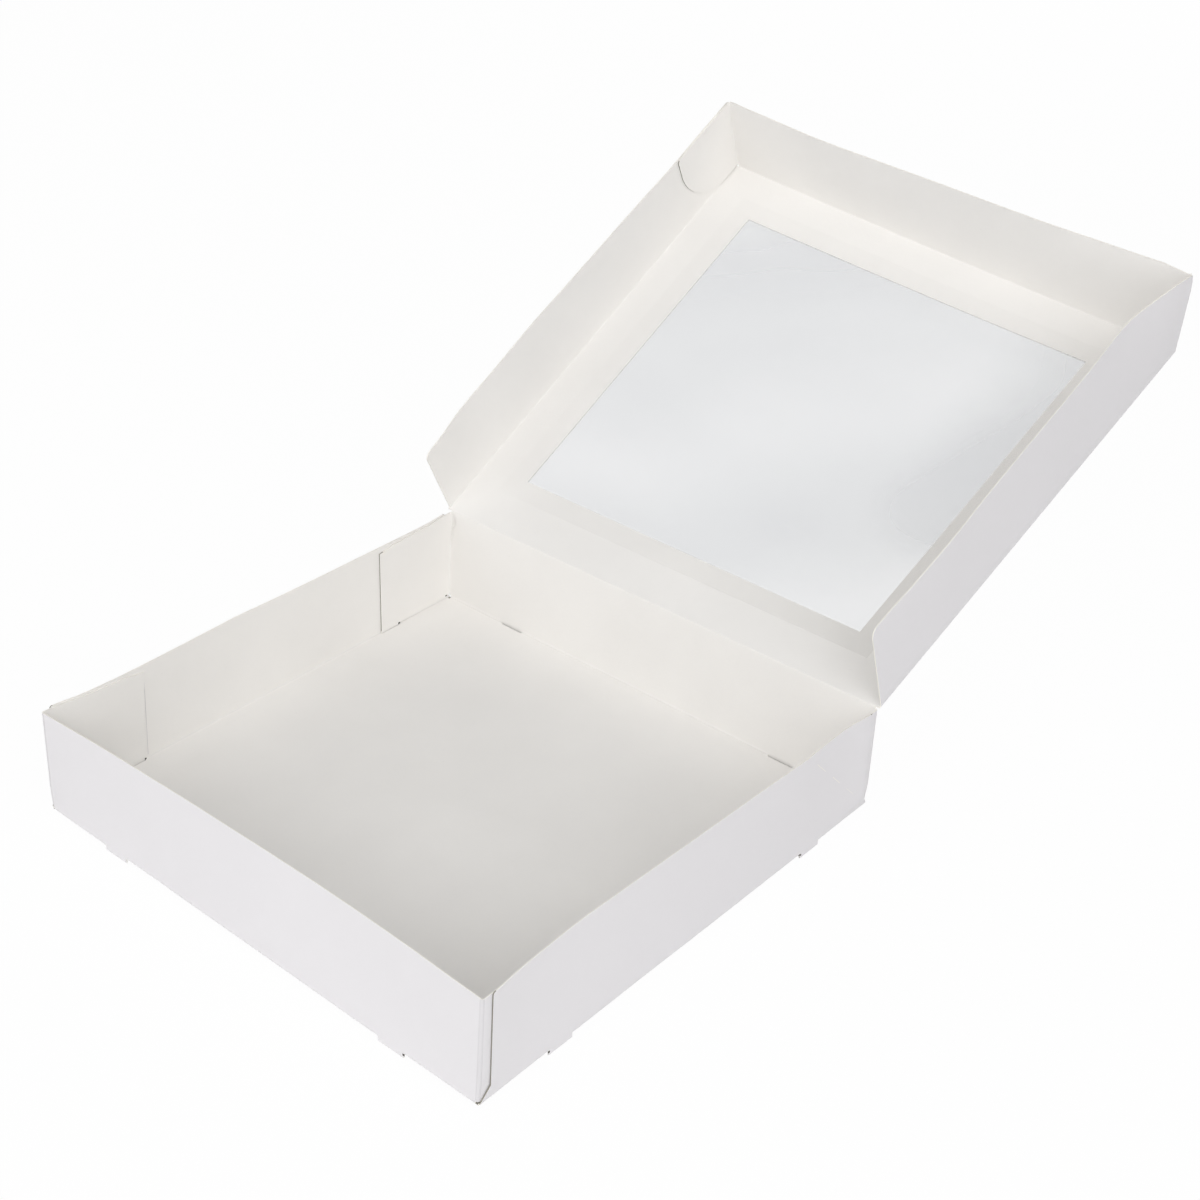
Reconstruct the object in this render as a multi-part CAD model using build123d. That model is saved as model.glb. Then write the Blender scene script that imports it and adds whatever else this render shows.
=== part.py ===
from build123d import *
import os

os.makedirs("parts", exist_ok=True)

# A shallow cake box folded from one sheet of white paperboard. The tray has four walls, and corner
# flaps that lock into slots in its base. The lid is hinged along the top of the back wall. It has three
# walls, glued corner flaps and a square window, closed by a clear film on its inside.
# The origin is on the table, under the middle of the tray. X runs along the hinge and Y runs back.

# Sheet
board = 0.5  # thickness of the paperboard
crease_radius = 0.4  # inside radius of a long crease
corner_radius = 0.7  # inside radius of the softer fold at an upright corner
overrun = 5.0  # how far a cutting tool runs past what it cuts

# Tray
tray_width = 250.0  # outside, along the hinge
tray_depth = 250.0  # outside, front to back
wall_height = 50.0  # from the underside of the base to the rims
front_bow = 3.0  # how far the middle of the front rim leans in
side_bow = 2.2  # the same for the side rims
side_setback = 4.7  # how far each end of a side wall stops short of the corner
side_ramp = 6.0  # height of the slanted cut at the foot of those ends
side_toe = 0.4  # how far a side wall's crease stops short of the corner
rim_rounding = 1.2  # corners of a side wall's rim
base_relief = 1.7  # how far the front and back creases stop short of the corner

# Slots in the base, and the feet: short tongues of a wall that stay upright where its crease is cut
foot_drop = 1.8  # how far the feet reach below the base
slot_length = 13.5
slot_width = 2.2
slot_setback = 37.0  # from the corner to the nearer end of a slot

# Corner flaps of the tray, inside the side walls
flap_length = 51.0
flap_gap = 0.15  # between a flap and the side wall beside it
flap_drop = 1.6  # how far its top edge stays below the rims
flap_lift = 1.5  # how far its bottom edge stays above the base
flap_cut_height = 1.8  # of the slanted cut at its free top corner
flap_cut_run = 9.0  # the length of that cut
tongue_length = 11.6  # of the tongue that locks the flap in its slot
tongue_play = 0.5  # between the tongue and the far end of the slot
tongue_tip = 0.4  # height of the tongue's tip above the table

# Lid
lid_angle = 24.2  # of the open lid above the horizontal
lid_play = 0.3  # between a side wall of the tray and what passes beside it, inside the lid
lid_front_play = 5.0  # between the front of the tray and the lid's far wall, when it is shut
lid_wall = 49.0  # height of the lid's walls, from the middle of its top's board
far_bow = 2.6  # how far the middle of the far rim leans in
rim_gap = 0.3  # between the rims and the lid when it is shut
hinge_gap = 0.08  # between the rounded top of the back wall and the edge of the lid
lid_rear_setback = 0.9  # how far a side wall of the lid starts from the hinge line
lid_rear_rounding = 9.0  # its rear top corner
lid_far_setback = 1.6  # how far it stops short of the far corner
lid_far_rounding = 3.0  # its far top corner
lid_flap_length = 40.0
lid_flap_rounding = 16.0  # the flap's free corner beside the lid's top
lid_flap_lift = 0.8  # how far the flap stays off the lid's top
lid_flap_drop = 1.0  # how far its top edge stays below the rims

# Window
window_size = 194.0
window_shift = -1.6  # of its middle, along the hinge
window_from_hinge = 32.0
window_rounding = 1.0
film_margin = 11.0  # width of the glued edge of the film
film_thickness = 0.1

# Worked out from the sizes above
turn = board + crease_radius  # outside radius of a long crease
corner_turn = board + corner_radius  # the same at an upright corner
base_top = foot_drop + board
wall_start = foot_drop + turn  # height at which the walls leave the base creases
rim = foot_drop + wall_height
hinge_y = tray_depth / 2 - board / 2
hinge_z = rim + rim_gap + board / 2
flap_face = board + flap_gap  # depth of a tray flap's outside behind the outside of the side wall
flap_low = base_top + flap_lift
flap_high = rim - flap_drop
end_half = tray_width / 2 - flap_face - corner_turn  # half the flat length of the front and back walls
flap_start = tray_depth / 2 - corner_turn  # where the flaps leave the corner folds
lid_half = tray_width / 2 + lid_play + 2 * board
lid_depth = hinge_y + tray_depth / 2 + lid_front_play + board
lid_edge = board / 2 + hinge_gap
lid_wall_start = turn - board / 2
far_half = lid_half - board - corner_turn  # half the flat length of the lid's far wall


def box_between(x, y, z):
    """A box from its two limits along each axis."""
    middle = Pos((x[0] + x[1]) / 2, (y[0] + y[1]) / 2, (z[0] + z[1]) / 2)
    return middle * Box(x[1] - x[0], y[1] - y[0], z[1] - z[0])


def quarter_ring(radius):
    """The section of a fold: a quarter of a ring one board thick, in the corner below and left of its centre."""
    outside = radius + board
    corner = Pos(-outside / 2, -outside / 2) * Rectangle(outside, outside)
    return (Circle(outside) - Circle(radius)) & corner


def crease(start, end, underside):
    """A long fold along X from a level sheet inside it to a wall whose outside is on Y=0."""
    fold = extrude(Plane.YZ * quarter_ring(crease_radius), end - start)
    return Pos(start, turn, underside + turn) * fold


def corner_fold(wall_end, low, high):
    """An upright fold at the left end of a wall whose outside is on Y=0; it carries the sheet towards +Y."""
    return Pos(-wall_end, corner_turn, low) * extrude(quarter_ring(corner_radius), high - low)


def sheet_wall(half, face, low, high, bow=0.0):
    """A wall along X with its outside on Y=face: straight at the height low, and bowed in by bow at high."""
    foot = Pos(0, face + board / 2) * Rectangle(2 * half, board)
    if bow == 0:
        return extrude(Pos(0, 0, low) * foot, high - low)
    inside = face + board
    edges = [
        ThreePointArc((-half, face), (0, face + bow), (half, face)),
        Line((half, face), (half, inside)),
        ThreePointArc((half, inside), (0, inside + bow), (-half, inside)),
        Line((-half, inside), (-half, face)),
    ]
    top = make_face(Wire(edges))
    return loft([Pos(0, 0, low) * foot, Pos(0, 0, high) * top], ruled=True)


def rounded_outline(corners):
    """A tool through a wall along X, from its corners in X and Z, each with its own rounding."""
    flat = make_face(Polyline(*[(x, z) for x, z, _ in corners], close=True))
    for x, z, rounding in corners:
        if rounding > 0:
            corner = flat.vertices().sort_by_distance((x, z, 0))[0]
            flat = fillet(corner, rounding)
    return extrude(Plane.XZ * flat, overrun, both=True)


def both_ends(part):
    """A part made at the left end of a wall along X, and its mirror image at the right end."""
    return part + mirror(part, about=Plane.YZ)


def on_tray(part, side):
    """Turns what was made along X, with the inside of the box towards +Y, to its side of the tray."""
    places = {
        "front": Pos(0, -tray_depth / 2, 0),
        "right": Pos(tray_width / 2, 0, 0) * Rot(0, 0, 90),
        "back": Pos(0, tray_depth / 2, 0) * Rot(0, 0, 180),
        "left": Pos(-tray_width / 2, 0, 0) * Rot(0, 0, -90),
    }
    return places[side] * part


def end_wall(high, bow=0.0):
    """The front or back wall, with its base crease and the fold at each end that leads to a flap."""
    reach = tray_width / 2 - base_relief
    wall = crease(-reach, reach, foot_drop)
    wall += sheet_wall(end_half, 0, wall_start, high, bow)
    return wall + both_ends(corner_fold(end_half, flap_low, flap_high))


def side_wall():
    """A side wall with its base crease. It is cut back at both ends, where the corner folds show."""
    reach = tray_depth / 2 - side_toe
    end = tray_depth / 2 - side_setback
    shape = rounded_outline(
        [
            (-reach, wall_start, 0),
            (-end, wall_start + side_ramp, 0),
            (-end, rim, rim_rounding),
            (end, rim, rim_rounding),
            (end, wall_start + side_ramp, 0),
            (reach, wall_start, 0),
        ]
    )
    sheet = sheet_wall(tray_depth / 2, 0, wall_start, rim, side_bow)
    return crease(-reach, reach, foot_drop) + (sheet & shape)


def locked_flap():
    """The flap at the left end of a side, inside the side wall, with the tongue that stands in its slot."""
    free_end = -tray_depth / 2 + flap_length
    tongue_end = -tray_depth / 2 + slot_setback + slot_length - tongue_play
    tongue_start = tongue_end - tongue_length
    shape = rounded_outline(
        [
            (-flap_start, flap_low, 0),
            (-flap_start, flap_high, 0),
            (free_end - flap_cut_run, flap_high, 0),
            (free_end, flap_high - flap_cut_height, 0),
            (tongue_end, flap_low, 0),
            (tongue_end, tongue_tip, 0),
            (tongue_start, tongue_tip, 0),
            (tongue_start, flap_low, 0),
        ]
    )
    sheet = sheet_wall(flap_start, flap_face, wall_start, rim, side_bow)
    sheet += sheet_wall(flap_start, flap_face, tongue_tip, wall_start)
    return sheet & shape


def slots_and_feet(length):
    """The tools for the two slots at the foot of a wall of this length, and the feet that stand in them."""
    start = -length / 2 + slot_setback
    ends = (start, start + slot_length)
    slots = both_ends(box_between(ends, (-overrun, slot_width), (-overrun, wall_start)))
    feet = both_ends(box_between(ends, (0, board), (0, wall_start)))
    return slots, feet


# Tray
base_half_width = tray_width / 2 - turn
base_half_depth = tray_depth / 2 - turn
tray = box_between(
    (-base_half_width, base_half_width), (-base_half_depth, base_half_depth), (foot_drop, base_top)
)
tray += on_tray(end_wall(rim, front_bow), "front")
tray += on_tray(end_wall(hinge_z), "back")
for side in ("left", "right"):
    tray += on_tray(side_wall(), side)
for side, length in (("front", tray_width), ("back", tray_width), ("left", tray_depth), ("right", tray_depth)):
    slots, feet = slots_and_feet(length)
    tray = tray - on_tray(slots, side) + on_tray(feet, side)
for side in ("left", "right"):
    tray += on_tray(both_ends(locked_flap()), side)
hinge_bead = Rot(0, 90, 0) * Cylinder(board / 2, 2 * end_half)
tray += Pos(0, hinge_y, hinge_z) * hinge_bead


# Lid, made level with its hinge line on X and its walls upwards, then tilted about that line
def lid_side():
    """The right side wall of the lid, with its crease and the far wall's flap glued inside it."""
    wall = crease(lid_edge, lid_depth - turn, -board / 2)
    shape = rounded_outline(
        [
            (lid_rear_setback, lid_wall_start, 0),
            (lid_rear_setback, lid_wall, lid_rear_rounding),
            (lid_depth - lid_far_setback, lid_wall, lid_far_rounding),
            (lid_depth - lid_far_setback, lid_wall_start, 0),
        ]
    )
    wall += sheet_wall(lid_depth, 0, lid_wall_start, lid_wall) & shape
    flap_end = lid_depth - lid_flap_length
    flap_shape = rounded_outline(
        [
            (flap_end, board / 2 + lid_flap_lift, lid_flap_rounding),
            (flap_end, lid_wall - lid_flap_drop, lid_far_rounding),
            (lid_depth - corner_turn, lid_wall - lid_flap_drop, 0),
            (lid_depth - corner_turn, board / 2 + lid_flap_lift, 0),
        ]
    )
    wall += sheet_wall(lid_depth, board, 0, lid_wall) & flap_shape
    return Pos(lid_half, 0, 0) * Rot(0, 0, 90) * wall


def lid_far_side():
    """The far wall of the lid, with its crease and the folds that lead to its flaps."""
    reach = lid_half - base_relief
    wall = crease(-reach, reach, -board / 2)
    wall += sheet_wall(far_half, 0, lid_wall_start, lid_wall, far_bow)
    wall += both_ends(corner_fold(far_half, board / 2 + lid_flap_lift, lid_wall - lid_flap_drop))
    return Pos(0, lid_depth, 0) * Rot(0, 0, 180) * wall


opened = Pos(0, hinge_y, hinge_z) * Rot(lid_angle, 0, 0)
window_middle = Pos(window_shift, window_from_hinge + window_size / 2, 0)
lid = box_between((turn - lid_half, lid_half - turn), (lid_edge, lid_depth - turn), (-board / 2, board / 2))
lid -= window_middle * extrude(RectangleRounded(window_size, window_size, window_rounding), board, both=True)
lid += both_ends(lid_side())
lid += lid_far_side()
lid = opened * lid

film_size = window_size + 2 * film_margin
film = window_middle * Pos(0, 0, board / 2 + film_thickness / 2) * Box(film_size, film_size, film_thickness)
film = opened * film

export_step(tray, "parts/tray.step")
export_step(lid, "parts/lid.step")
export_step(film, "parts/window_film.step")
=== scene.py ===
import math

import bmesh
import bpy
from mathutils import Matrix, Vector


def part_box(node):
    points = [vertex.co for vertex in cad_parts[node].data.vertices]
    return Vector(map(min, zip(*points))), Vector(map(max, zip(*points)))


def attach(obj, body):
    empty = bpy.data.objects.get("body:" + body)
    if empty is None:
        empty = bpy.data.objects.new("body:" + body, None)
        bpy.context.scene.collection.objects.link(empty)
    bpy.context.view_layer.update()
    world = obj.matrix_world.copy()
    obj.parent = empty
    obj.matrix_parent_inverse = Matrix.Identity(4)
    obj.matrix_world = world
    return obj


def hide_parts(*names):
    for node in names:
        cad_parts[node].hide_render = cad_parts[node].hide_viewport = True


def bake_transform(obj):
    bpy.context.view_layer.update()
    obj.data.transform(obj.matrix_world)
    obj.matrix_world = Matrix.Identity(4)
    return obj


# An open cake box of white board, with a film window in its lid. The carton's board is worked here in
# millimetres, as one thin sheet that runs through the middle of its thickness, and gets its thickness,
# its two faces and its cut edges last.

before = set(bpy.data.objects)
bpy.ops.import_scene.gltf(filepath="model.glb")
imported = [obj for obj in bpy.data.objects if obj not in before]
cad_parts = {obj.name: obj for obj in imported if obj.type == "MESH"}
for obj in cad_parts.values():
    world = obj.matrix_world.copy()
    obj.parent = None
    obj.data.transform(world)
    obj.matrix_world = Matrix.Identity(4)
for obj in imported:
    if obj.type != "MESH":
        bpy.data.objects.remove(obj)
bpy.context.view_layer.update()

MILLIMETRES = 1000  # in a metre
tray_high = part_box("tray")[1] * MILLIMETRES
lid_low, lid_high = (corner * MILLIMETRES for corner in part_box("lid"))

# The board
BOARD = 0.5
CREASE_BEND = 0.65  # radius of a long crease, to the middle of the board
CORNER_BEND = 0.95  # the same at the softer upright folds
CREASE_PARTS, CORNER_PARTS = 5, 6  # facets of a crease and of an upright fold

# The tray
SIDE = tray_high.x - BOARD / 2  # its walls stand here, to the middle of the board
OUTER_FACE = SIDE + BOARD / 2
FOOT_DROP = 1.8
FOOT_TIP = 0.05  # how far the feet end above the table
BASE = FOOT_DROP + BOARD / 2
WALL_START = BASE + CREASE_BEND
RIM = 51.8
WALL_END = 123.15  # half the flat length of the front and back walls
CORNER_HOLE = 122.9  # the base stops here at its four corners
SIDE_TOE = 0.15  # how far a side wall's crease stops short of the corner
SIDE_SETBACK = 4.3  # how much further the ends of the wall above it stop short
SIDE_RAMP, RAMP_TOP = 6.0, 8.7  # height of the slanted cut at the foot of those ends, and where it stops
RIM_ROUNDING = 1.2
SLOT_FAR, SLOT_NEAR = 74.5, 88.0  # ends of the slots, from the middle of the tray
SLOT_DEPTH = 123.5

# The tray's corner flaps, whose places run from the middle of the tray
FLAP_FACE = 124.1  # they stand here, inside the side walls
FLAP_LOW, FLAP_HIGH = 3.3, 51.35
FLAP_SLANT, FLAP_END = 83.0, 72.6  # where the top edge starts to slant, and the free end
FLAP_FALL, SLANT_FALL = 1.15, 1.8  # how far the top edge comes down as far as the tongue, and over the slant
TONGUE_START, TONGUE_END = 86.6, 75.0
TONGUE_TIP = 0.4

# The lid, made level with the hinge line on Y=0
HINGE_Y = SIDE
HINGE_Z = 52.35
LID_SIDE = lid_high.x - BOARD / 2
LID_DEPTH = 255.0
LID_WALL = 49.0
LID_WALL_END = 124.6  # half the flat length of the far wall
LID_REAR_SETBACK, LID_FAR_SETBACK = 0.9, 1.35  # how far a side wall stops short of the hinge line and the corner
LID_REAR_ROUNDING, LID_FAR_ROUNDING = 4.5, 2.2
LID_FLAP_FACE = 125.55
LID_FLAP_END = 212.8
LID_FLAP_STEP = 0.4  # how far its flaps' upper edges lie below the wall's
LID_FLAP_LOW, LID_FLAP_HIGH = 1.05, LID_WALL - LID_FLAP_STEP
LID_FLAP_ROUNDING, LID_FLAP_TIP_ROUNDING = 33, 3
LEFT_TILT, RIGHT_TILT = 29.13, 20.77  # degrees above level: the open lid is twisted

# The window, and the film that is glued inside it
WINDOW_LEFT, WINDOW_RIGHT = -98.6, 95.2
WINDOW_REAR, WINDOW_FAR = 31.5, 226.0
FILM_MARGIN = 11.0
FILM = 0.1
GLUE = 0.06

# How finely the sheets are cut across, so that they can bend: the limits of the cuts, and the most between two
TRAY_CUTS_X, TRAY_CUTS_Y = (-122, 122, 6.0), (-120, 120, 6.0)
TRAY_CUTS_Z = (RAMP_TOP, FLAP_HIGH, 5.2)
LID_CUTS_X, LID_CUTS_Y = (-124, 124, 6.2), (10, 250, 6.0)
LID_CUTS_Z = (LID_FLAP_LOW, LID_FLAP_HIGH, 5.9)
FILM_CUTS_X, FILM_CUTS_Y = (WINDOW_LEFT, WINDOW_RIGHT, 4.0), (WINDOW_REAR, WINDOW_FAR, 4.0)

# How finely places are told apart
MERGE = 0.01  # points closer than this are made one
TOUCH = 0.02
CLOSE = 0.05
HAIR = 0.1
BESIDE = 0.2
CLEAR = 0.4  # a cut across a sheet keeps this far from the lines that it must not crowd
SMOOTH_UNDER = 32  # degrees: a sharper bend between two faces stays an edge


# ---------------------------------------------------------------- working with sheets

def put_down():
    """Leaves edit mode, with nothing selected."""
    if bpy.context.mode != "OBJECT":
        bpy.ops.object.mode_set(mode="OBJECT")
    bpy.ops.object.select_all(action="DESELECT")


def take(piece):
    """Makes piece the only selected object."""
    put_down()
    piece.select_set(True)
    bpy.context.view_layer.objects.active = piece


def work_on(piece):
    """Opens piece in edit mode."""
    take(piece)
    bpy.ops.object.mode_set(mode="EDIT")


def middle(part):
    """The middle of an edge or a face, or the place of a vertex."""
    if hasattr(part, "co"):
        return part.co.copy()
    return sum((v.co for v in part.verts), Vector()) / len(part.verts)


def choose(piece, kind, test):
    """In edit mode, selects only the faces, edges or vertices whose middle passes the test."""
    bpy.ops.mesh.select_mode(type=kind)
    bpy.ops.mesh.select_all(action="DESELECT")
    mesh = bmesh.from_edit_mesh(piece.data)
    for part in {"FACE": mesh.faces, "EDGE": mesh.edges, "VERT": mesh.verts}[kind]:
        if test(middle(part)):
            part.select_set(True)
    mesh.select_flush_mode()
    bmesh.update_edit_mesh(piece.data)


def choose_border(piece, test):
    """In edit mode, selects only the open border edges whose middle passes the test."""
    bpy.ops.mesh.select_mode(type="EDGE")
    bpy.ops.mesh.select_all(action="DESELECT")
    mesh = bmesh.from_edit_mesh(piece.data)
    for edge in mesh.edges:
        if edge.is_boundary and test(middle(edge)):
            edge.select_set(True)
    mesh.select_flush_mode()
    bmesh.update_edit_mesh(piece.data)


def near(a, b, reach=TOUCH):
    """Whether two places along an axis are as good as the same."""
    return abs(a - b) < reach


def cut(axis, *places):
    """Scores the whole sheet across, at these places along an axis."""
    direction = {"x": (1, 0, 0), "y": (0, 1, 0), "z": (0, 0, 1)}[axis]
    for place in places:
        bpy.ops.mesh.select_all(action="SELECT")
        bpy.ops.mesh.bisect(plane_co=[part * place for part in direction], plane_no=direction)


def steps(start, end, most, *lines):
    """Evenly spaced places between two limits, no further apart than most, without those that crowd a line."""
    count = max(1, math.ceil((end - start) / most))
    places = [start + (end - start) * i / count for i in range(1, count)]
    return [place for place in places if all(abs(place - line) > CLEAR for line in lines)]


def both_ways(*places):
    """The places on both sides of the middle."""
    return [side * place for place in places for side in (-1, 1)]


def remove(piece, test):
    """Cuts away the faces whose middle passes the test."""
    choose(piece, "FACE", test)
    bpy.ops.mesh.delete(type="FACE")


def grow(*move):
    """Extrudes the selected border edges."""
    bpy.ops.mesh.extrude_region_move(TRANSFORM_OT_translate={"value": move})


def fold(centre, axis, angle, parts=CREASE_PARTS):
    """Carries the selected border edges round a crease, by a right-handed turn: spin turns the other way."""
    bpy.ops.mesh.spin(steps=parts, angle=-math.radians(angle), center=centre, axis=axis)


def round_corner(piece, radius, parts, test):
    """In edit mode, rounds the corners of a sheet whose place passes the test."""
    choose(piece, "VERT", test)
    bpy.ops.mesh.bevel(offset=radius, offset_type="OFFSET", segments=parts, affect="VERTICES")


def merge_points():
    """In edit mode, makes one of points that meet."""
    bpy.ops.mesh.select_all(action="SELECT")
    bpy.ops.mesh.remove_doubles(threshold=MERGE)


def shift(piece, path):
    """Moves every vertex of a piece to path(place)."""
    put_down()
    for vertex in piece.data.vertices:
        vertex.co = path(vertex.co.copy())
    piece.data.update()


def flat_sheet(name, x, y, z):
    """A level rectangle between its limits."""
    put_down()
    bpy.ops.mesh.primitive_plane_add(size=1, location=((x[0] + x[1]) / 2, (y[0] + y[1]) / 2, z))
    piece = bpy.context.object
    piece.name = piece.data.name = name
    piece.scale = (x[1] - x[0], y[1] - y[0], 1)
    bpy.ops.object.transform_apply(location=True, rotation=True, scale=True)
    return piece


def apply_modifier(piece, kind, **settings):
    """Gives a piece a modifier with these settings, and makes it part of the mesh."""
    take(piece)
    modifier = piece.modifiers.new(kind.title(), kind)
    for key, value in settings.items():
        setattr(modifier, key, value)
    bpy.ops.object.modifier_apply(modifier=modifier.name)


def mirrored(piece, x=False, y=False):
    """Completes a half or a quarter of a sheet, and turns all its faces the way of its inside."""
    apply_modifier(piece, "MIRROR", use_axis=(x, y, False), use_clip=True, merge_threshold=MERGE)
    work_on(piece)
    merge_points()
    bpy.ops.mesh.normals_make_consistent(inside=False)
    put_down()
    level = [face for face in piece.data.polygons if abs(face.normal.z) > 0.99]
    if sum(face.normal.z * face.area for face in level) < 0:
        work_on(piece)
        bpy.ops.mesh.select_all(action="SELECT")
        bpy.ops.mesh.flip_normals()
        put_down()


def between(stations, place):
    """A smooth value along a line, from its (place, value) stations."""
    if place <= stations[0][0]:
        return stations[0][1]
    if place >= stations[-1][0]:
        return stations[-1][1]

    def slope(i):
        if i == 0 or i == len(stations) - 1:
            return 0.0
        return (stations[i + 1][1] - stations[i - 1][1]) / (stations[i + 1][0] - stations[i - 1][0])

    i = max(k for k, station in enumerate(stations) if station[0] <= place)
    (a, low), (b, high) = stations[i], stations[i + 1]
    t = (place - a) / (b - a)
    rise = (b - a) * (slope(i) * t * (1 - t) ** 2 - slope(i + 1) * (1 - t) * t ** 2)
    return low + (high - low) * t * t * (3 - 2 * t) + rise


def ease(start, end, place):
    """0 before start, 1 past end, and smooth between."""
    t = min(1.0, max(0.0, (place - start) / (end - start)))
    return t * t * (3 - 2 * t)


def ripple(a, b, waves):
    """A gentle unevenness over a sheet: the sum of waves (size, length, direction in degrees, phase)."""
    total = 0.0
    for size, length, direction, phase in waves:
        turn = math.radians(direction)
        total += size * math.sin(2 * math.pi * (a * math.cos(turn) + b * math.sin(turn)) / length + phase)
    return total


# ---------------------------------------------------------------- finishes

def nodes_of(name):
    """A material with its node tree and its one shader."""
    material = bpy.data.materials.new(name)
    material.use_nodes = True
    tree = material.node_tree
    tree.nodes.clear()
    output = tree.nodes.new("ShaderNodeOutputMaterial")
    shader = tree.nodes.new("ShaderNodeBsdfPrincipled")
    tree.links.new(shader.outputs["BSDF"], output.inputs["Surface"])
    return material, tree, shader


def linear(colour):
    """A colour as seen on a screen, from 0 to 255, as the light it stands for."""
    parts = [part / 255 for part in colour]
    return tuple(p / 12.92 if p <= 0.04045 else ((p + 0.055) / 1.055) ** 2.4 for p in parts) + (1.0,)


def new_group(name, inputs, outputs):
    """A shader node group with these (name, kind, default) inputs and (name, kind) outputs."""
    group = bpy.data.node_groups.new(name, "ShaderNodeTree")
    for label, kind, value in inputs:
        socket = group.interface.new_socket(label, in_out="INPUT", socket_type=kind)
        socket.default_value = value
    for label, kind in outputs:
        group.interface.new_socket(label, in_out="OUTPUT", socket_type=kind)
    return group, group.nodes.new("NodeGroupInput").outputs, group.nodes.new("NodeGroupOutput").inputs


def give(tree, socket, value):
    """Links a node's output to a socket, or sets a plain value on it."""
    if isinstance(value, bpy.types.NodeSocket):
        tree.links.new(value, socket)
    else:
        socket.default_value = value


def node(tree, kind, **values):
    """Adds a node with its properties and its named inputs, each a plain value or another node's output."""
    made = tree.nodes.new(kind)
    for key, value in values.items():
        if hasattr(made, key):
            setattr(made, key, value)
        else:
            give(tree, made.inputs[key.replace("_", " ")], value)
    return made


def maths(tree, operation, *values):
    """The result of a sum on plain values and other nodes' outputs."""
    made = node(tree, "ShaderNodeMath", operation=operation)
    for socket, value in zip(made.inputs, values):
        give(tree, socket, value)
    return made.outputs["Value"]


def spread(tree, value, start=0.0, end=1.0, low=0.0, high=1.0, kind="LINEAR"):
    """A value that goes from low to high, as another one goes from start to end."""
    made = node(
        tree, "ShaderNodeMapRange", interpolation_type=kind,
        Value=value, From_Min=start, From_Max=end, To_Min=low, To_Max=high,
    )
    return made.outputs["Result"]


def noise(tree, place, **values):
    """Soft noise at a place, from 0 to 1."""
    return node(tree, "ShaderNodeTexNoise", Vector=place, **values).outputs["Fac"]


def fibre_group():
    """Paperboard: matted fibres, a slow cloudiness of the pulp and a few specks."""
    group, given, made = new_group(
        "board_fibres",
        [
            ("Colour", "NodeSocketColor", (0.8, 0.8, 0.8, 1)),
            ("Cloud", "NodeSocketFloat", 0.02),
            ("Specks", "NodeSocketFloat", 0.1),
            ("Fibre Height", "NodeSocketFloat", 0.05),
            ("Roughness", "NodeSocketFloat", 0.6),
            ("Roughness Change", "NodeSocketFloat", 0.05),
        ],
        [("Colour", "NodeSocketColor"), ("Roughness", "NodeSocketFloat"), ("Normal", "NodeSocketVector")],
    )
    place = node(group, "ShaderNodeTexCoord").outputs["Object"]
    cloud = noise(group, place, Scale=22.0, Detail=3.0, Roughness=0.5)
    along = node(group, "ShaderNodeMapping", Vector=place, Scale=(900.0, 2300.0, 1500.0)).outputs["Vector"]
    fibres = noise(group, along, Scale=1.0, Detail=4.0, Roughness=0.6, Distortion=0.6)
    mat = noise(group, place, Scale=520.0, Detail=3.0, Roughness=0.55)
    speck = node(group, "ShaderNodeTexVoronoi", Vector=place, Scale=95.0).outputs["Distance"]

    spots = maths(group, "MULTIPLY", spread(group, speck, 0.02, 0.045, 1.0, 0.0), given["Specks"])
    clouds = maths(group, "MULTIPLY", spread(group, cloud, 0.3, 0.7, -1.0, 0.0), given["Cloud"])
    threads = maths(group, "MULTIPLY", spread(group, fibres, 0.3, 0.7, -0.35, 0.0), given["Cloud"])
    darker = maths(group, "SUBTRACT", maths(group, "ADD", clouds, threads), spots)
    level = maths(group, "ADD", darker, 1.0)
    tint = node(group, "ShaderNodeVectorMath", operation="SCALE", Vector=given["Colour"], Scale=level)
    give(group, made["Colour"], tint.outputs["Vector"])

    swing = maths(group, "MULTIPLY", spread(group, mat, 0.3, 0.7, -1.0, 1.0), given["Roughness Change"])
    give(group, made["Roughness"], maths(group, "ADD", swing, given["Roughness"]))

    heap = maths(group, "ADD", fibres, mat)
    bump = node(group, "ShaderNodeBump", Height=heap, Strength=given["Fibre Height"], Distance=0.0002)
    give(group, made["Normal"], bump.outputs["Normal"])
    return group


FIBRES = fibre_group()


def board_finish(name, colour, roughness, fibre, cloud, specks, specular):
    """One face of the board, or its cut edge."""
    material, tree, shader = nodes_of(name)
    pulp = tree.nodes.new("ShaderNodeGroup")
    pulp.node_tree = FIBRES
    pulp.inputs["Colour"].default_value = linear(colour)
    pulp.inputs["Cloud"].default_value = cloud
    pulp.inputs["Specks"].default_value = specks
    pulp.inputs["Fibre Height"].default_value = fibre
    pulp.inputs["Roughness"].default_value = roughness
    pulp.inputs["Roughness Change"].default_value = 0.05
    tree.links.new(pulp.outputs["Colour"], shader.inputs["Base Color"])
    tree.links.new(pulp.outputs["Roughness"], shader.inputs["Roughness"])
    tree.links.new(pulp.outputs["Normal"], shader.inputs["Normal"])
    shader.inputs["Specular IOR Level"].default_value = specular
    return material


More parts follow.
